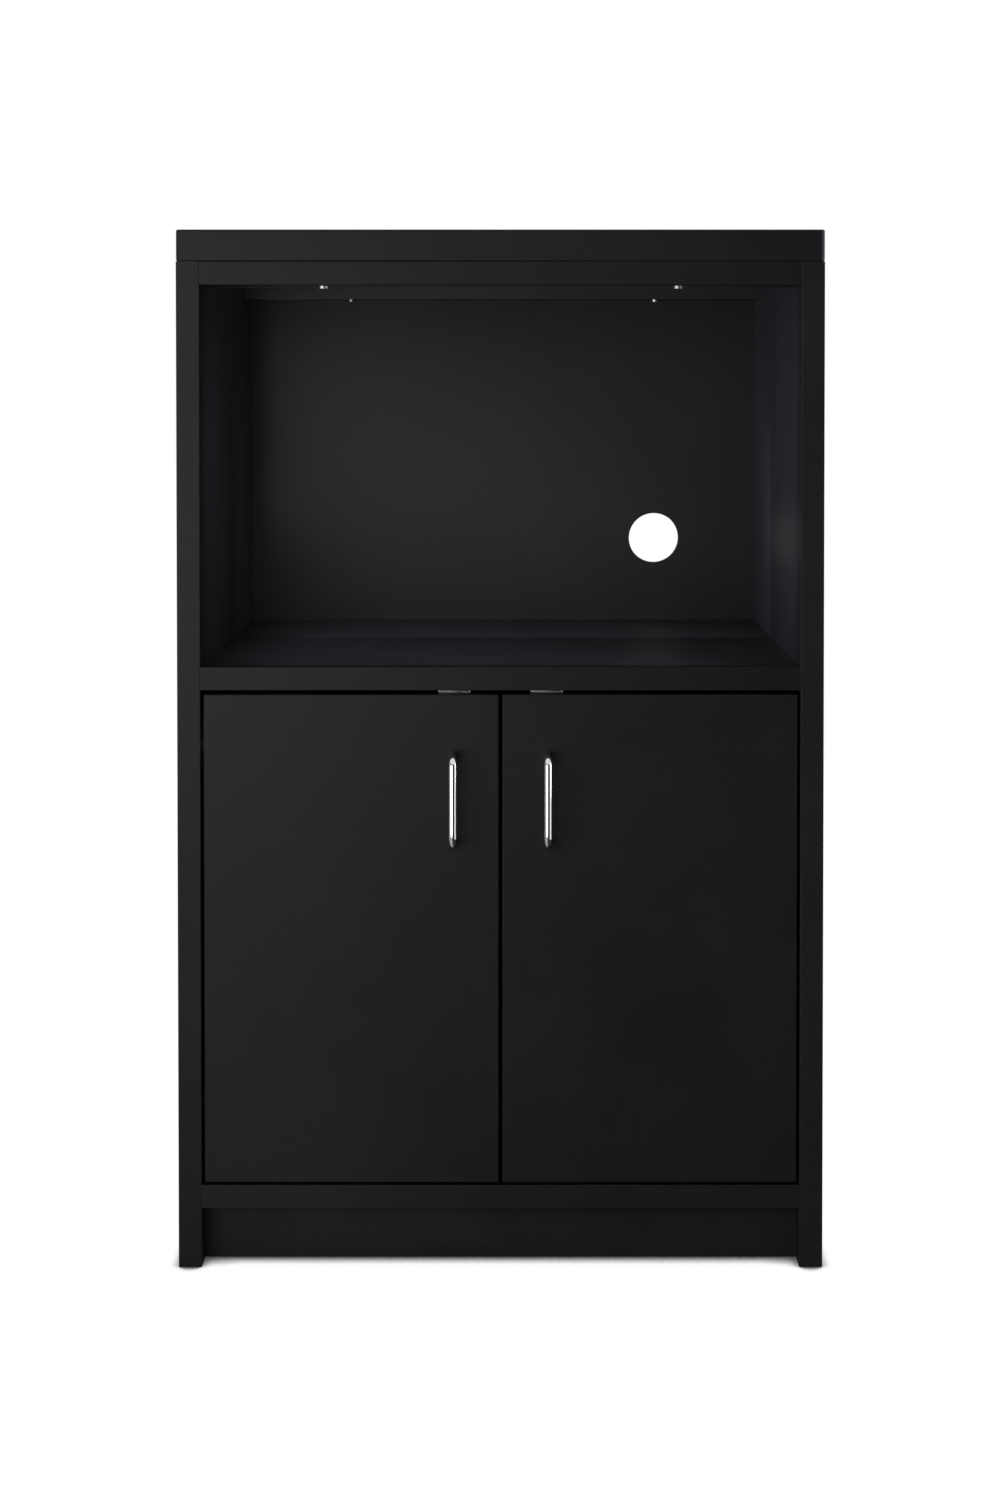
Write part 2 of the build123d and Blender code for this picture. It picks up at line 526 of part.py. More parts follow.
# Mounting plates: a winged base screwed to the side, with a block that the arm is clamped to
block_half = PLATE_BLOCK_WIDTH / 2
with BuildPart() as left_hinge_plates:
    for level in hinge_levels:
        block((plate_x, plate_screw_y - PLATE_WING_WIDTH / 2, level - PLATE_WING_HEIGHT / 2),
              (plate_x + PLATE_THICKNESS, plate_screw_y + PLATE_WING_WIDTH / 2,
               level + PLATE_WING_HEIGHT / 2))
        block((plate_x, front + ARM_STRAIGHT_V, level - block_half),
              (plate_x + PLATE_THICKNESS, front + ARM_BACK_V, level + block_half))
        block((plate_x, front + arm_shoulder_v, level - block_half),
              (block_top_x, front + ARM_BACK_V, level + block_half))
    drill([(block_top_x, y, level) for level in hinge_levels for y in arm_screw_ys],
          ARM_SCREW_DIAMETER / 2 + FIT, ARM_SCREW_LENGTH, (-1, 0, 0))
    drill([(plate_x + PLATE_THICKNESS, y, z) for y, z in plate_screw_places],
          SMALL_SCREW_DIAMETER / 2 + FIT, PLATE_THICKNESS, (-1, 0, 0))

with BuildPart() as left_plate_screws:
    screws([(plate_x + PLATE_THICKNESS, y, z) for y, z in plate_screw_places], SMALL_SCREW_DIAMETER,
           SMALL_SCREW_LENGTH, SMALL_SCREW_HEAD, SMALL_SCREW_HEAD_HEIGHT, (-1, 0, 0))

with BuildPart() as left_arm_screws:
    screws([(arm_top_x, y, level) for level in hinge_levels for y in arm_screw_ys],
           ARM_SCREW_DIAMETER, ARM_SCREW_LENGTH, ARM_SCREW_HEAD, ARM_SCREW_HEAD_HEIGHT, (-1, 0, 0))

# Magnetic catches under the middle shelf: a folded case with a magnet between two pole plates
with BuildPart() as catch_cases:
    for x in catch_xs:
        block((x - CATCH_WIDTH / 2, catch_front + CASE_SETBACK, catch_bottom),
              (x + CATCH_WIDTH / 2, catch_front + CATCH_DEPTH, shelf_bottom))
        block((x - CATCH_WIDTH / 2 + CATCH_SHEET, catch_front, catch_bottom + CATCH_SHEET),
              (x + CATCH_WIDTH / 2 - CATCH_SHEET, catch_front + CATCH_DEPTH - CATCH_SHEET,
               shelf_bottom - CATCH_SHEET), Mode.SUBTRACT)
        block((x - CATCH_WIDTH / 2, catch_front + CATCH_DEPTH, shelf_bottom - CATCH_SHEET),
              (x + CATCH_WIDTH / 2, catch_front + CATCH_DEPTH + CATCH_TAB, shelf_bottom))
    drill([(x, catch_tab_y, shelf_bottom) for x in catch_screw_xs],
          SMALL_SCREW_DIAMETER / 2 + FIT, CATCH_SHEET, (0, 0, -1))

magnet_half = CATCH_WIDTH / 2 - CATCH_SHEET
magnet_low = catch_bottom + CATCH_SHEET
magnet_high = shelf_bottom - CATCH_SHEET
magnet_back = catch_front + CATCH_DEPTH - CATCH_SHEET
with BuildPart() as catch_magnets:
    for x in catch_xs:
        block((x - magnet_half, catch_front + MAGNET_SETBACK, magnet_low + CATCH_POLE),
              (x + magnet_half, magnet_back, magnet_high - CATCH_POLE))

with BuildPart() as catch_poles:
    for x in catch_xs:
        for low in (magnet_low, magnet_high - CATCH_POLE):
            block((x - magnet_half, catch_front, low), (x + magnet_half, magnet_back, low + CATCH_POLE))

with BuildPart() as catch_screws:
    screws([(x, catch_tab_y, shelf_bottom - CATCH_SHEET) for x in catch_screw_xs], SMALL_SCREW_DIAMETER,
           SMALL_SCREW_LENGTH, SMALL_SCREW_HEAD, SMALL_SCREW_HEAD_HEIGHT, (0, 0, 1))

# Strike plate that the left catch holds, and its screw
with BuildPart() as left_strike:
    block((-CATCH_FROM_MIDDLE - STRIKE_WIDTH / 2, door_back, strike_middle - STRIKE_HEIGHT / 2),
          (-CATCH_FROM_MIDDLE + STRIKE_WIDTH / 2, strike_back, strike_middle + STRIKE_HEIGHT / 2))
    fillet(left_strike.edges().filter_by(Axis.Y), STRIKE_CORNER)
    with Locations(Plane(origin=(-CATCH_FROM_MIDDLE, strike_back, strike_middle), z_dir=(0, 1, 0))):
        CounterSinkHole(SMALL_SCREW_DIAMETER / 2 + FIT, SMALL_SCREW_DIAMETER / 2 + STRIKE_SINK + FIT,
                        depth=STRIKE_THICKNESS, counter_sink_angle=90)

with BuildPart() as left_strike_screw:
    with Locations(Plane(origin=(-CATCH_FROM_MIDDLE, strike_back, strike_middle), z_dir=(0, -1, 0))):
        Cylinder(SMALL_SCREW_DIAMETER / 2, STRIKE_SCREW_LENGTH, align=(Align.CENTER, Align.CENTER, Align.MIN))
        Cone(SMALL_SCREW_DIAMETER / 2 + STRIKE_SINK, SMALL_SCREW_DIAMETER / 2, STRIKE_SINK,
             align=(Align.CENTER, Align.CENTER, Align.MIN))

os.makedirs("parts", exist_ok=True)

# The right door and all that hinges and holds it are the mirror image of the left
handed = {
    "door": left_door, "pull": left_pull, "pull_screws": left_pull_screws, "hinge_cups": left_hinge_cups,
    "cup_screws": left_cup_screws, "cup_pins": left_cup_pins, "hinge_links": left_hinge_links,
    "hinge_arms": left_hinge_arms, "arm_rivets": left_arm_rivets, "hinge_plates": left_hinge_plates,
    "plate_screws": left_plate_screws, "arm_screws": left_arm_screws, "strike": left_strike,
    "strike_screw": left_strike_screw,
}
for piece, left in handed.items():
    with BuildPart() as right:
        mirror(left.part, about=Plane.YZ)
    left.part.label = "left_" + piece
    export_step(left.part, f"parts/left_{piece}.step")
    right.part.label = "right_" + piece
    export_step(right.part, f"parts/right_{piece}.step")

single = {
    "top_panel": top_panel, "left_side": left_side, "right_side": right_side,
    "front_stretcher": front_stretcher, "back_stretcher": back_stretcher, "middle_shelf": middle_shelf,
    "bottom_panel": bottom_panel, "toe_kick": toe_kick, "back_panel": back_panel, "back_screws": back_screws,
    "carcass_dowels": carcass_dowels, "top_screws": top_screws, "inner_shelf": inner_shelf,
    "shelf_pins": shelf_pins, "catch_cases": catch_cases, "catch_magnets": catch_magnets,
    "catch_poles": catch_poles, "catch_screws": catch_screws,
}
for node, piece in single.items():
    piece.part.label = node
    export_step(piece.part, f"parts/{node}.step")
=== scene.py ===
"""Looks of a black microwave cabinet with two doors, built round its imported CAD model.

Lengths are in metres in the part's own frame: +Z is up, the front faces -Y and the floor is at z = 0.
"""

import json
import math

import bpy
import numpy as np
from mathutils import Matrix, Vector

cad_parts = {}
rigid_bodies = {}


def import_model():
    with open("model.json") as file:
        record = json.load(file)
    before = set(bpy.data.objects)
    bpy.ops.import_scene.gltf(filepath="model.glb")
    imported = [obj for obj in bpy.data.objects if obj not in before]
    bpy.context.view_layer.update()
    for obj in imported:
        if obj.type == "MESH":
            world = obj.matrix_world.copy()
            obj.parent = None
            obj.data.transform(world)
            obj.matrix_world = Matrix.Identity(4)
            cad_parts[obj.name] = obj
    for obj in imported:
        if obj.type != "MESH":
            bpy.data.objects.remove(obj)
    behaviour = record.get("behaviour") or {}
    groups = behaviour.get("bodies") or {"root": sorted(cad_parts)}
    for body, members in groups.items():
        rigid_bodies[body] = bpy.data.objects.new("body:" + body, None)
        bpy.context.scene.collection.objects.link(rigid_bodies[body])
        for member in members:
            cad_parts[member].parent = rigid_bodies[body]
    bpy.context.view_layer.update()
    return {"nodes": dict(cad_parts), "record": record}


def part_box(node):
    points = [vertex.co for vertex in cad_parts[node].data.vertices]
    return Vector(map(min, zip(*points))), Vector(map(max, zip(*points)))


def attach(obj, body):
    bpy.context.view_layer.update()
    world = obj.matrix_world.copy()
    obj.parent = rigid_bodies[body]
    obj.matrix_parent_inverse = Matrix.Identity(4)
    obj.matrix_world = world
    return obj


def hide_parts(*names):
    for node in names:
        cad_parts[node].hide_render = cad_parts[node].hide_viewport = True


for default_object in list(bpy.data.objects):
    bpy.data.objects.remove(default_object)

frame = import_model()

# Camera: level but for a small downward tilt, a little right of the middle, near the top panel's height
IMAGE_WIDTH = 1000
IMAGE_HEIGHT = 1500
SENSOR = 36.0
FOCAL_PIXELS = 2493.9
CAMERA_PLACE = (0.0155, -2.5698, 0.8400)
CAMERA_TILT = 0.02377
AXIS_COLUMN = 516.9
AXIS_ROW = 440.0

# Laminate: a near-black melamine face with a fine pebbled grain
LAMINATE_DARK = (0.0084, 0.0090, 0.0104, 1.0)
LAMINATE_LIGHT = (0.0141, 0.0151, 0.0175, 1.0)
# Paler colour at the board edges: part wear, part a painted highlight of the light the edges catch
LAMINATE_RUBBED_AND_SHEEN = (0.0170, 0.0182, 0.0205, 1.0)
# Painted highlight: the pale colour given to the top panel's right front corner, in place of the light its
# round catches
LAMINATE_PAINTED_CORNER_HIGHLIGHT = (0.0530, 0.0560, 0.0640, 1.0)
LAMINATE_ROUGHNESS = 0.40
LAMINATE_SPECULAR = 0.125
# Brightness factor of each board's laminate: part the board's own tone, part painted light and shade; the
# recessed toe kick and the right side are painted lighter and the back panel darker
BOARD_TONE_AND_PAINTED_LIGHT = {"top_panel": 1.09, "left_side": 0.94, "right_side": 1.33, "front_stretcher": 0.93,
               "middle_shelf": 0.95, "bottom_panel": 1.15, "toe_kick": 1.31, "back_panel": 0.60,
               "left_door": 1.08, "right_door": 1.06}
GRAINS_PER_METRE = 1100.0
SPECKLES_PER_GRAIN = 0.45
CLOUDS_PER_METRE = 7.0
GRAIN_RELIEF = 0.00004
# Width over which board edges are painted paler, by wear and a painted highlight
EDGE_RUB_AND_SHEEN_WIDTH = 0.0016
EDGE_BAND_THICKNESS = 0.0010
CORNER_ROUND = 0.0036
METAL_RELIEF = 0.000004

# Studio: azimuths are in degrees about the cabinet's middle, 0 straight in front, growing to the right
MIDDLE = (0.0, -0.22, 0.55)
BOX_DISTANCE = 1.9

# Softboxes round the cabinet: azimuth, elevation, size and watts
SOFTBOXES = {"key": (-28.0, 2.0, (1.7, 1.5), 22.4), "right": (100.0, 4.0, (1.0, 1.1), 14.0),
             "left": (-115.0, 4.0, (1.0, 1.1), 9.0)}

# Lamps in the bay: place, direction, size and watts
BAY_LAMPS = {"bay_opening": ((0.0, -0.215, 0.75), (0.0, 1.0, 0.0), (0.46, 0.33), 1.12),
             "bay_left": ((-0.275, 0.03, 0.79), (1.0, 0.0, 0.0), (0.36, 0.24), 0.95),
             "bay_depth": ((0.03, 0.05, 0.68), (0.0, 1.0, 0.0), (0.48, 0.22), 0.48)}

# Even light in front and behind, and the azimuths on either side between which one turns to the other
AMBIENT = 0.23
REAR_AMBIENT = 0.8
AMBIENT_TURN = (100.0, 150.0)

# The mirrored room: azimuths where a wall begins and ends, and its brightness
WALLS = ((-168.0, -74.0, 0.5), (-60.0, 2.0, 0.3), (51.0, 126.0, 1.0))
WALL_FADE = 2.0
BARE_ROOM = 0.04
REAR_ROOM = 0.12
REAR_TURN = (120.0, 130.0)
CEILING = 0.85
CEILING_RISE = (0.52, 0.60)

# The floor: its mirrored brightness near by and in the key's pool of light, and the shadow at the feet
FLOOR_HALF_WIDTH = 30.0
PLAIN_FLOOR = 0.42
NEAR_FLOOR = 0.04
LIT_FLOOR = (-80.0, -14.0, 0.48)
LIT_FLOOR_FADE = 20.0
WALL_FOOT = (1.25, 1.40)
FOOT_SHADOW_REACH = 0.034
FOOT_SHADOW_AIM = (0.0, 0.958, 0.287)
FOOT_SHADOW_TINT = 0.055
AROUND_FOOT_TINT = 0.45
OCCLUSION_SAMPLES = 16

BOARDS = ("top_panel", "left_side", "right_side", "front_stretcher", "back_stretcher", "middle_shelf",
          "bottom_panel", "toe_kick", "back_panel", "inner_shelf", "left_door", "right_door")


# Node helpers

def fill(tree, node, inputs):
    """Links each input of the node that is given a socket, and sets the others."""
    for label, value in inputs.items():
        if isinstance(value, bpy.types.NodeSocket):
            tree.links.new(value, node.inputs[label])
        else:
            node.inputs[label].default_value = value


def place(tree, kind, inputs=None, **settings):
    """Adds a node of that kind, sets its properties, and fills or links its inputs by name or number."""
    made = tree.nodes.new(kind)
    for label, value in settings.items():
        setattr(made, label, value)
    fill(tree, made, inputs or {})
    return made


def maths(tree, operation, first, second=0.0):
    """The output of one Math node."""
    return place(tree, "ShaderNodeMath", {0: first, 1: second}, operation=operation).outputs[0]


def ramp(tree, value, low, high, start=0.0, end=1.0, smooth=True):
    """Maps value from low..high to start..end, held at both ends and eased if smooth."""
    kind = "SMOOTHSTEP" if smooth else "LINEAR"
    inputs = {"Value": value, "From Min": low, "From Max": high, "To Min": start, "To Max": end}
    return place(tree, "ShaderNodeMapRange", inputs, interpolation_type=kind).outputs["Result"]


def vector_maths(tree, operation, first, second):
    """The vector output of one Vector Math node."""
    return place(tree, "ShaderNodeVectorMath", {0: first, 1: second}, operation=operation).outputs[0]


def noise(tree, point, scale, detail, roughness=0.5):
    """The value of one Noise Texture."""
    inputs = {"Vector": point, "Scale": scale, "Detail": detail, "Roughness": roughness}
    return place(tree, "ShaderNodeTexNoise", inputs).outputs["Fac"]


def split(tree, vector):
    """The x, y and z of a vector."""
    return place(tree, "ShaderNodeSeparateXYZ", {0: vector}).outputs


def relief_normal(tree, height, distance):
    """The normal of a bump of that height."""
    inputs = {"Strength": 1.0, "Distance": distance, "Height": height}
    return place(tree, "ShaderNodeBump", inputs).outputs["Normal"]


def blend_values(tree, share, first, second):
    """first where share is 0, second where it is 1."""
    return place(tree, "ShaderNodeMix", {0: share, 2: first, 3: second}, data_type="FLOAT").outputs[0]


def blend_colours(tree, share, first, second):
    """first where share is 0, second where it is 1."""
    made = place(tree, "ShaderNodeMix", data_type="RGBA")
    fill(tree, made, {0: share, 6: first, 7: second})
    return made.outputs[2]


def weighed(tree, first, first_share, second, second_share):
    """first and second, each times its share, added up."""
    return maths(tree, "ADD", maths(tree, "MULTIPLY", first, first_share),
                 maths(tree, "MULTIPLY", second, second_share))


def start_group(label, inputs, outputs):
    """An empty shader group with named sockets, and its input node's outputs and output node's inputs."""
    group = bpy.data.node_groups.new(label, "ShaderNodeTree")
    for name, (kind, value) in inputs.items():
        group.interface.new_socket(name, in_out="INPUT", socket_type=kind).default_value = value
    for name, kind in outputs.items():
        group.interface.new_socket(name, in_out="OUTPUT", socket_type=kind)
    return group, group.nodes.new("NodeGroupInput").outputs, group.nodes.new("NodeGroupOutput").inputs


def use_group(tree, group, inputs=None):
    """Places a group in a material with its own values and returns its outputs."""
    made = place(tree, "ShaderNodeGroup", node_tree=group)
    fill(tree, made, inputs or {})
    return made.outputs


def object_point(tree):
    """The place on the piece, in its own coordinates."""
    return tree.nodes.new("ShaderNodeTexCoord").outputs["Object"]


# Effects that several finishes share

def grain_group():
    """Fine pebbles and slow clouds: small Voronoi cells softened by noise give the pebbles and their bump,
    and a broad noise gives the clouds."""
    group, given, out = start_group(
        "fine_grain",
        {"Grains per metre": ("NodeSocketFloat", GRAINS_PER_METRE),
         "Relief": ("NodeSocketFloat", GRAIN_RELIEF)},
        {"Mottle": "NodeSocketFloat", "Cloud": "NodeSocketFloat", "Normal": "NodeSocketVector"})
    point = object_point(group)
    cells = place(group, "ShaderNodeTexVoronoi", {"Vector": point, "Scale": given["Grains per metre"]},
                  feature="SMOOTH_F1").outputs["Distance"]
    speckle_scale = maths(group, "MULTIPLY", given["Grains per metre"], SPECKLES_PER_GRAIN)
    speckle = noise(group, point, speckle_scale, 3.0, 0.65)
    height = weighed(group, cells, 0.6, speckle, 0.7)
    cloud = noise(group, point, CLOUDS_PER_METRE, 4.0, 0.55)
    group.links.new(ramp(group, height, 0.40, 0.95), out["Mottle"])
    group.links.new(ramp(group, cloud, 0.30, 0.70), out["Cloud"])
    group.links.new(relief_normal(group, height, given["Relief"]), out["Normal"])
    return group


def board_edge_group():
    """How near a point of a box-shaped board is to its nearest edge. Of the three distances to the box's
    planes, the middle one is the distance along the face to the edge; a mask fades over Width, broken by
    noise, for edges painted paler by wear and a painted highlight, and another is 1 within Band of the
    edge. A third marks the round of the right front corner, for a painted highlight there."""
    group, given, out = start_group(
        "board_edge",
        {"Low": ("NodeSocketVector", (0, 0, 0)), "High": ("NodeSocketVector", (1, 1, 1)),
         "Width": ("NodeSocketFloat", EDGE_RUB_AND_SHEEN_WIDTH), "Band": ("NodeSocketFloat", EDGE_BAND_THICKNESS)},
        {"Rub and sheen": "NodeSocketFloat", "Band": "NodeSocketFloat", "Corner highlight": "NodeSocketFloat"})
    point = object_point(group)
    above = vector_maths(group, "SUBTRACT", point, given["Low"])
    below = vector_maths(group, "SUBTRACT", given["High"], point)
    x, y, z = split(group, vector_maths(group, "MINIMUM", above, below))
    lesser = maths(group, "MINIMUM", x, y)
    greater = maths(group, "MINIMUM", maths(group, "MAXIMUM", x, y), z)
    middle = maths(group, "MAXIMUM", lesser, greater)
    patches = noise(group, point, 90.0, 3.0)
    fade = ramp(group, middle, 0.0, given["Width"], 1.0, 0.0)
    # Mask for edges painted paler, part wear and part painted highlight
    rub_and_sheen = maths(group, "MULTIPLY", fade, ramp(group, patches, 0.35, 0.7, 0.35, 1.0))
    # Mask for the painted highlight on the right front corner
    corner = maths(group, "MAXIMUM", split(group, below)["X"], split(group, above)["Y"])
    group.links.new(rub_and_sheen, out["Rub and sheen"])
    group.links.new(maths(group, "LESS_THAN", middle, given["Band"]), out["Band"])
    group.links.new(ramp(group, corner, 0.7 * CORNER_ROUND, CORNER_ROUND, 1.0, 0.0), out["Corner highlight"])
    return group


def drawn_metal_group():
    """Fine lines drawn along one direction: noise on coordinates squeezed by Stretch, which is small along
    the lines and large across them. The same noise gives a faint bump."""
    group, given, out = start_group(
        "drawn_metal",
        {"Stretch": ("NodeSocketVector", (1, 1, 1)), "Relief": ("NodeSocketFloat", METAL_RELIEF)},
        {"Line": "NodeSocketFloat", "Stain": "NodeSocketFloat", "Normal": "NodeSocketVector"})
    point = object_point(group)
    line = noise(group, vector_maths(group, "MULTIPLY", point, given["Stretch"]), 1.0, 4.0, 0.6)
    stain = noise(group, point, 140.0, 3.0)
    group.links.new(ramp(group, line, 0.3, 0.7), out["Line"])
    group.links.new(ramp(group, stain, 0.35, 0.7), out["Stain"])
    group.links.new(relief_normal(group, line, given["Relief"]), out["Normal"])
    return group


def between(tree, azimuth, start, end, fade, strength):
    """strength where the azimuth is between start and end, and 0 beyond them, with a fade about each."""
    begun = ramp(tree, azimuth, start - fade, start + fade, 0.0, strength)
    return maths(tree, "MULTIPLY", begun, ramp(tree, azimuth, end - fade, end + fade, 1.0, 0.0))


def room_group():
    """What surrounds the cabinet at the azimuth of Vector, seen from above. For mirrors, pale walls where
    WALLS has them, a bare dark room between them and in front, a dim one behind, and a floor that is dark
    but for the pool of light under the key. For light that isn't mirrored, a brighter room behind."""
    group, given, out = start_group(
        "room", {"Vector": ("NodeSocketVector", (0, 0, 0))},
        {"Walls": "NodeSocketFloat", "Near floor": "NodeSocketFloat", "Ambient": "NodeSocketFloat"})
    x, y, z = split(group, given["Vector"])
    azimuth = maths(group, "DEGREES", maths(group, "ARCTAN2", x, maths(group, "MULTIPLY", y, -1.0)))
    aside = maths(group, "ABSOLUTE", azimuth)
    walls = ramp(group, aside, *REAR_TURN, BARE_ROOM, REAR_ROOM)
    for start, end, white in WALLS:
        walls = maths(group, "MAXIMUM", walls, between(group, azimuth, start, end, WALL_FADE, white))
    start, end, white = LIT_FLOOR
    pool = between(group, azimuth, start, end, LIT_FLOOR_FADE, white)
    group.links.new(walls, out["Walls"])
    group.links.new(maths(group, "MAXIMUM", pool, NEAR_FLOOR), out["Near floor"])
    group.links.new(ramp(group, aside, *AMBIENT_TURN, AMBIENT, REAR_AMBIENT), out["Ambient"])
    return group


GRAIN = grain_group()
BOARD_EDGE = board_edge_group()
DRAWN_METAL = drawn_metal_group()
ROOM = room_group()


# Finishes

def start_material(label):
    """A material with a Principled shader, the material's node tree and the shader's inputs."""
    material = bpy.data.materials.new(label)
    material.use_nodes = True
    shader = material.node_tree.nodes["Principled BSDF"]
    return material, material.node_tree, shader.inputs


def toned(colour, share):
    """The colour times share, opaque."""
    return tuple(share * value for value in colour[:3]) + (1.0,)


def laminate(board):
    """Black melamine face: grain darkens and lightens it a little, edges are painted paler, part wear and
    part painted highlight, and the edge band's narrow stripe is a touch glossier than the face. Each board's
    colour is scaled by its own factor, part its tone and part painted light and shade. The top panel's
    right front corner is painted pale as a highlight."""
    pebble_share = 0.6
    rub_and_sheen_share = 0.5
    cloud_spread = 0.05
    pebble_spread = 0.06
    band_polish = 0.04
    material, tree, shader = start_material("laminate_" + board)
    low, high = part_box(board)
    grain = use_group(tree, GRAIN)
    edge = use_group(tree, BOARD_EDGE, {"Low": low, "High": high})
    mottle = weighed(tree, grain["Mottle"], pebble_share, grain["Cloud"], 1.0 - pebble_share)
    # The board's factor, part its own tone and part painted light and shade, scales its colour
    board_tone_and_painted_light = BOARD_TONE_AND_PAINTED_LIGHT.get(board, 1.0)
    face = blend_colours(tree, mottle, toned(LAMINATE_DARK, board_tone_and_painted_light), toned(LAMINATE_LIGHT, board_tone_and_painted_light))
    # Edges painted paler: part wear, part painted highlight
    colour = blend_colours(tree, maths(tree, "MULTIPLY", edge["Rub and sheen"], rub_and_sheen_share), face, LAMINATE_RUBBED_AND_SHEEN)
    # Painted highlight: the top panel's right front corner is painted pale
    if board == "top_panel":
        colour = blend_colours(tree, edge["Corner highlight"], colour, LAMINATE_PAINTED_CORNER_HIGHLIGHT)
    rough = weighed(tree, grain["Cloud"], cloud_spread, grain["Mottle"], pebble_spread)
    rough = maths(tree, "ADD", rough, LAMINATE_ROUGHNESS - cloud_spread)
    rough = maths(tree, "SUBTRACT", rough, maths(tree, "MULTIPLY", edge["Band"], band_polish))
    tree.links.new(colour, shader["Base Color"])
    tree.links.new(rough, shader["Roughness"])
    tree.links.new(grain["Normal"], shader["Normal"])
    shader["Specular IOR Level"].default_value = LAMINATE_SPECULAR
    return material


def metal(label, colour, stained, roughness, spread, stretch, relief=METAL_RELIEF):
    """Plated or drawn metal: colour turns to stained in soft patches, and roughness rises by spread along
    the drawn lines."""
    material, tree, shader = start_material(label)
    drawn = use_group(tree, DRAWN_METAL, {"Stretch": stretch, "Relief": relief})
    tree.links.new(blend_colours(tree, drawn["Stain"], colour, stained), shader["Base Color"])
    rough = maths(tree, "ADD", maths(tree, "MULTIPLY", drawn["Line"], spread), roughness)
    tree.links.new(rough, shader["Roughness"])
    tree.links.new(drawn["Normal"], shader["Normal"])
    shader["Metallic"].default_value = 1.0
    return material


def beech():
    """Turned beech: long noise streaks between a pale and a darker wood, with short darker flecks."""
    material, tree, shader = start_material("beech_dowel")
    drawn = use_group(tree, DRAWN_METAL, {"Stretch": (60.0, 900.0, 900.0), "Relief": 0.00002})
    wood = blend_colours(tree, drawn["Line"], (0.58, 0.38, 0.22, 1.0), (0.72, 0.53, 0.34, 1.0))
    colour = blend_colours(tree, maths(tree, "MULTIPLY", drawn["Stain"], 0.3), wood, (0.42, 0.25, 0.13, 1.0))
    tree.links.new(colour, shader["Base Color"])
    tree.links.new(drawn["Normal"], shader["Normal"])
    shader["Roughness"].default_value = 0.6
    return material


def ferrite():
    """Magnet: dark sintered grains with a dull sheen."""
    material, tree, shader = start_material("ferrite")
    grain = use_group(tree, GRAIN, {"Grains per metre": 2500.0, "Relief": 0.00002})
    colour = blend_colours(tree, grain["Mottle"], (0.030, 0.028, 0.028, 1.0), (0.062, 0.057, 0.055, 1.0))
    tree.links.new(colour, shader["Base Color"])
    tree.links.new(ramp(tree, grain["Mottle"], 0.0, 1.0, 0.5, 0.7), shader["Roughness"])
    tree.links.new(grain["Normal"], shader["Normal"])
    return material


CHROME = metal("bright_chrome", (0.80, 0.81, 0.83, 1.0), (0.74, 0.75, 0.77, 1.0), 0.035, 0.04,
               (900.0, 900.0, 60.0), 0.000001)
NICKEL = metal("pressed_nickel", (0.62, 0.60, 0.57, 1.0), (0.50, 0.48, 0.45, 1.0), 0.22, 0.14,
               (300.0, 2200.0, 2200.0))
ZINC = metal("bright_zinc", (0.70, 0.71, 0.73, 1.0), (0.56, 0.57, 0.58, 1.0), 0.24, 0.16,
             (1800.0, 1800.0, 1800.0))
BLACK_ZINC = metal("black_zinc", (0.055, 0.055, 0.058, 1.0), (0.035, 0.035, 0.036, 1.0), 0.32, 0.16,
                   (1800.0, 1800.0, 1800.0))
ALUMINIUM = metal("satin_aluminium", (0.74, 0.75, 0.77, 1.0), (0.66, 0.67, 0.69, 1.0), 0.28, 0.16,
                  (200.0, 2600.0, 2600.0))
DULL_PLATE = metal("dull_plate", (0.43, 0.45, 0.48, 1.0), (0.35, 0.365, 0.39, 1.0), 0.50, 0.10,
                   (200.0, 2600.0, 2600.0))
SLOT_FINISHES = {"bright_bar": CHROME, "hinge_steel": NICKEL, "pin_steel": NICKEL, "zinc_screw": ZINC,
                 "black_screw": BLACK_ZINC, "catch_case": ALUMINIUM, "beech": beech(), "magnet": ferrite()}


def finish_nodes():
    """Each board gets its own laminate, whose paler edges, part wear and part painted highlight, are worked
    out from its box, and every other CAD node the finish of its slot."""
    slots = {part["node"]: part["material_slot"] for part in frame["record"]["subparts"]}
    for label, piece in frame["nodes"].items():
        material = laminate(label) if label in BOARDS else SLOT_FINISHES[slots[label]]
        for slot in piece.material_slots:
            slot.material = material


# Pieces made here

def link_object(label, data):
    """A new object in the scene, at the origin and unscaled."""
    made = bpy.data.objects.new(label, data)
    bpy.context.scene.collection.objects.link(made)
    return made


def tube_mesh(label, rings):
    """Quads between neighbouring rings of an array (ring, point, xyz), with a flat cap on each end."""
    count, around = rings.shape[:2]
    first = np.arange(around)
    following = (first + 1) % around
    starts = (np.arange(count - 1) * around)[:, None]
    walls = np.stack([starts + first, starts + following, starts + around + following,
                      starts + around + first], -1).reshape(-1, 4)
    last = (count - 1) * around
    faces = walls.tolist() + [first[::-1].tolist(), (last + first).tolist()]
    mesh = bpy.data.meshes.new(label)
    mesh.from_pydata(rings.reshape(-1, 3).tolist(), [], faces)
    mesh.polygons.foreach_set("use_smooth", np.r_[np.ones(len(walls), bool), False, False])
    mesh.update()
    return mesh


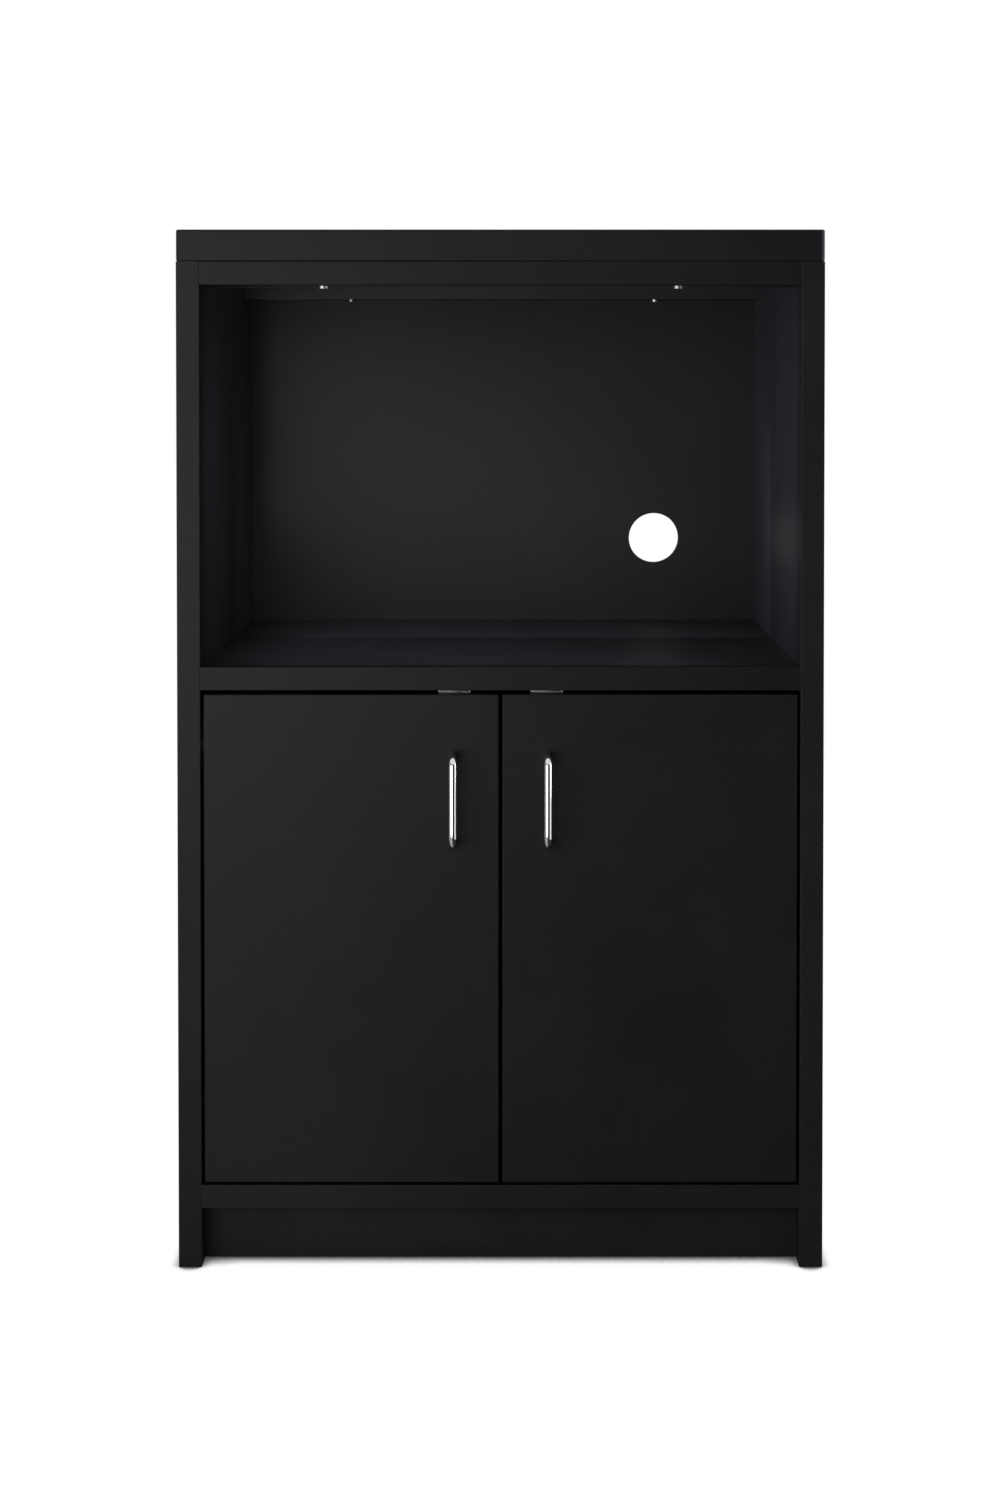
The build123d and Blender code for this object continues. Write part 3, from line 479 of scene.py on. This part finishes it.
def pull(side):
    """A round bar bent to a flat D: its line runs out from the door, turns a quarter circle, runs down and
    turns back. A ring of radius r about each point of the line lies in the plane across it, and r shrinks
    at the feet for a small chamfer."""
    bend_steps = 20
    bar_steps = 10
    around = 48
    bend = 0.009
    chamfer = 0.0003
    low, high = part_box(side + "_pull")
    radius = (high.x - low.x) / 2
    middle_x = (high.x + low.x) / 2
    bar_y = low.y + radius
    top, bottom = high.z - radius, low.z + radius
    turn = np.linspace(0.0, math.pi / 2, bend_steps)
    leg_y = np.array([high.y, high.y - chamfer, (high.y + bar_y) / 2])
    upper_y = np.r_[leg_y, bar_y + bend - bend * np.sin(turn)]
    upper_z = np.r_[np.full(3, top), top - bend + bend * np.cos(turn)]
    bar_z = np.linspace(top - bend, bottom + bend, bar_steps + 2)[1:-1]
    line_y = np.r_[upper_y, np.full(len(bar_z), bar_y), upper_y[::-1]]
    line_z = np.r_[upper_z, bar_z, (top + bottom) - upper_z[::-1]]
    across_y = np.r_[np.zeros(3), -np.sin(turn), -np.ones(len(bar_z)), -np.sin(turn[::-1]), np.zeros(3)]
    across_z = np.r_[np.ones(3), np.cos(turn), np.zeros(len(bar_z)), -np.cos(turn[::-1]), -np.ones(3)]
    size = np.full(len(line_y), radius)
    size[[0, -1]] = radius - chamfer
    angle = np.linspace(2 * math.pi, 0.0, around, endpoint=False)
    rings = np.stack([
        middle_x + size[:, None] * np.sin(angle),
        line_y[:, None] + (size * across_y)[:, None] * np.cos(angle),
        line_z[:, None] + (size * across_z)[:, None] * np.cos(angle)], -1)
    piece = link_object(side + "_bright_pull", tube_mesh(side + "_bright_pull", rings))
    piece.data.materials.append(CHROME)
    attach(piece, side + "_door_leaf")
    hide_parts(side + "_pull")


def catch_lip(side):
    """The folded front edge of a catch's upper pole plate, which closes the magnet's front. Its section in y
    and z, a flat strip with small chamfers above and a half round below, is carried along x, and the section
    shrinks towards its middle at both ends for a chamfer."""
    round_steps = 9
    drop = 0.0030
    thickness = 0.0009
    proud = 0.00005
    chamfer = 0.00012
    low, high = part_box("catch_poles")
    strike_low, strike_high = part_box("left_strike")
    offset = -(strike_low.x + strike_high.x) / 2
    half_width = high.x - offset
    middle_x = offset if side == "right" else -offset
    front, back = low.y - proud, low.y - proud + thickness
    top, bottom = high.z - chamfer, high.z - drop
    turn = np.linspace(0.0, math.pi, round_steps)
    radius = thickness / 2
    section_y = np.r_[front + chamfer, front, front + radius - radius * np.cos(turn), back, back - chamfer]
    section_z = np.r_[top, top - chamfer, bottom + radius - radius * np.sin(turn), top - chamfer, top]
    inset = np.array([chamfer, 0.0, 0.0, chamfer])[:, None]
    along = middle_x + np.array([-half_width, chamfer - half_width, half_width - chamfer, half_width])
    centre_y, centre_z = (front + back) / 2, (top + bottom) / 2
    rings = np.stack([
        np.repeat(along[:, None], len(section_y), axis=1),
        centre_y + (1.0 - inset / radius) * (section_y - centre_y),
        centre_z + (1.0 - inset / drop) * (section_z - centre_z)], -1)
    piece = link_object(side + "_catch_lip", tube_mesh(side + "_catch_lip", rings))
    piece.data.materials.append(DULL_PLATE)
    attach(piece, "carcass")


# Studio

def ray_kinds(tree):
    """1 for rays that show the background, from the camera or through something clear, and 1 for mirrored
    ones."""
    path = tree.nodes.new("ShaderNodeLightPath").outputs
    return maths(tree, "MAXIMUM", path["Is Camera Ray"], path["Is Transmission Ray"]), path["Is Glossy Ray"]


def glow(tree, strength):
    """White light given off at that strength."""
    return place(tree, "ShaderNodeEmission", {"Color": (1, 1, 1, 1), "Strength": strength}).outputs[0]


def openness(tree, inputs):
    """1 where nothing is near, less where something is within the distance."""
    made = place(tree, "ShaderNodeAmbientOcclusion", inputs, samples=OCCLUSION_SAMPLES)
    return made.outputs["AO"]


def floor():
    """A wide plain floor. The camera sees it white, but for the shadow at the cabinet's feet: occlusion,
    gathered towards the cabinet, darkens the floor in front of a foot within a short reach, and a weaker
    one gathered upwards does so all round. Mirrors see a dark floor near by and the walls' feet further
    out, and other rays a pale grey one."""
    half = FLOOR_HALF_WIDTH
    mesh = bpy.data.meshes.new("floor")
    corners = [(-half, -half, 0.0), (half, -half, 0.0), (half, half, 0.0), (-half, half, 0.0)]
    mesh.from_pydata(corners, [], [(0, 1, 2, 3)])
    ground = link_object("floor", mesh)
    material = bpy.data.materials.new("pale_floor")
    material.use_nodes = True
    material.cycles.emission_sampling = "NONE"
    tree = material.node_tree
    tree.nodes.clear()
    plain = place(tree, "ShaderNodeBsdfDiffuse", {"Color": (PLAIN_FLOOR, PLAIN_FLOOR, PLAIN_FLOOR, 1.0)})

    inward = place(tree, "ShaderNodeCombineXYZ", dict(zip("XYZ", FOOT_SHADOW_AIM))).outputs[0]
    open_inward = openness(tree, {"Distance": FOOT_SHADOW_REACH, "Normal": inward})
    open_upward = openness(tree, {"Distance": FOOT_SHADOW_REACH / 3})
    foot = maths(tree, "POWER", ramp(tree, open_inward, 0.36, 0.68, 0.0, 1.0, smooth=False), 0.75)
    foot = ramp(tree, foot, 0.0, 1.0, FOOT_SHADOW_TINT, 1.0)
    around_foot = ramp(tree, open_upward, 0.5, 1.0, AROUND_FOOT_TINT, 1.0)
    white = glow(tree, maths(tree, "MULTIPLY", foot, around_foot))

    point = vector_maths(tree, "SUBTRACT", object_point(tree), (0.0, MIDDLE[1], 0.0))
    distance = place(tree, "ShaderNodeVectorMath", {0: point}, operation="LENGTH").outputs["Value"]
    room = use_group(tree, ROOM, {"Vector": point})
    mirrored = blend_values(tree, ramp(tree, distance, *WALL_FOOT), room["Near floor"], room["Walls"])
    dim = glow(tree, mirrored)

    clear, glossy = ray_kinds(tree)
    hidden = place(tree, "ShaderNodeMixShader", {0: glossy, 1: plain.outputs[0], 2: dim}).outputs[0]
    seen = place(tree, "ShaderNodeMixShader", {0: clear, 1: hidden, 2: white}).outputs[0]
    place(tree, "ShaderNodeOutputMaterial", {"Surface": seen})
    mesh.materials.append(material)


def world():
    """White where the camera looks past the object. Mirrors see the room's walls and its pale ceiling, and
    other rays meet a light that is even in front and stronger behind."""
    made = bpy.data.worlds.new("studio")
    made.use_nodes = True
    made.cycles.sampling_method = "NONE"
    tree = made.node_tree
    tree.nodes.clear()
    direction = tree.nodes.new("ShaderNodeTexCoord").outputs["Generated"]
    room = use_group(tree, ROOM, {"Vector": direction})
    rise = split(tree, direction)["Z"]
    mirrored = blend_values(tree, ramp(tree, rise, *CEILING_RISE), room["Walls"], CEILING)
    clear, glossy = ray_kinds(tree)
    hidden = blend_values(tree, glossy, room["Ambient"], mirrored)
    strength = blend_values(tree, clear, hidden, 1.0)
    background = place(tree, "ShaderNodeBackground", {"Color": (1, 1, 1, 1), "Strength": strength})
    place(tree, "ShaderNodeOutputWorld", {"Surface": background.outputs[0]})
    bpy.context.scene.world = made


def around(azimuth, elevation, distance):
    """The point at that distance from the cabinet's middle, azimuth and elevation in degrees."""
    turn, rise = math.radians(azimuth), math.radians(elevation)
    offset = Vector((math.sin(turn) * math.cos(rise), -math.cos(turn) * math.cos(rise), math.sin(rise)))
    return Vector(MIDDLE) + distance * offset


def softbox(label, start, target, size, power):
    """A rectangular area light at start, aimed at target, that the camera doesn't see."""
    lamp = bpy.data.lights.new(label, "AREA")
    lamp.shape = "RECTANGLE"
    lamp.size, lamp.size_y = size
    lamp.energy = power
    box = link_object(label, lamp)
    box.location = start
    box.rotation_euler = (Vector(target) - Vector(start)).to_track_quat("-Z", "Y").to_euler()
    box.visible_camera = False
    return box


def lights():
    """A large softbox in front on the left, weaker ones for the sides, and three lamps that light only the
    bay's inside: in its opening, along its left wall and halfway in. None stands behind, where its light
    would pass the cable hole as a spot."""
    for label, (azimuth, elevation, size, power) in SOFTBOXES.items():
        softbox(label, around(azimuth, elevation, BOX_DISTANCE), MIDDLE, size, power)
    for label, (start, facing, size, power) in BAY_LAMPS.items():
        lamp = softbox(label, start, Vector(start) + Vector(facing), size, power)
        lamp.visible_glossy = False


def camera():
    """The lens is the focal length in pixels over the frame's long side. The shift brings the optical
    axis's column and row to their places in the frame."""
    made = bpy.data.cameras.new("camera")
    made.sensor_width = SENSOR
    made.lens = FOCAL_PIXELS / IMAGE_HEIGHT * SENSOR
    made.shift_x = (IMAGE_WIDTH / 2 - AXIS_COLUMN) / IMAGE_HEIGHT
    made.shift_y = (AXIS_ROW - IMAGE_HEIGHT / 2) / IMAGE_HEIGHT
    eye = link_object("camera", made)
    eye.location = CAMERA_PLACE
    eye.rotation_euler = (math.pi / 2 - CAMERA_TILT, 0.0, 0.0)
    bpy.context.scene.camera = eye


finish_nodes()
for side in ("left", "right"):
    pull(side)
    catch_lip(side)
floor()
world()
lights()
camera()
bpy.context.scene.view_settings.view_transform = "Standard"
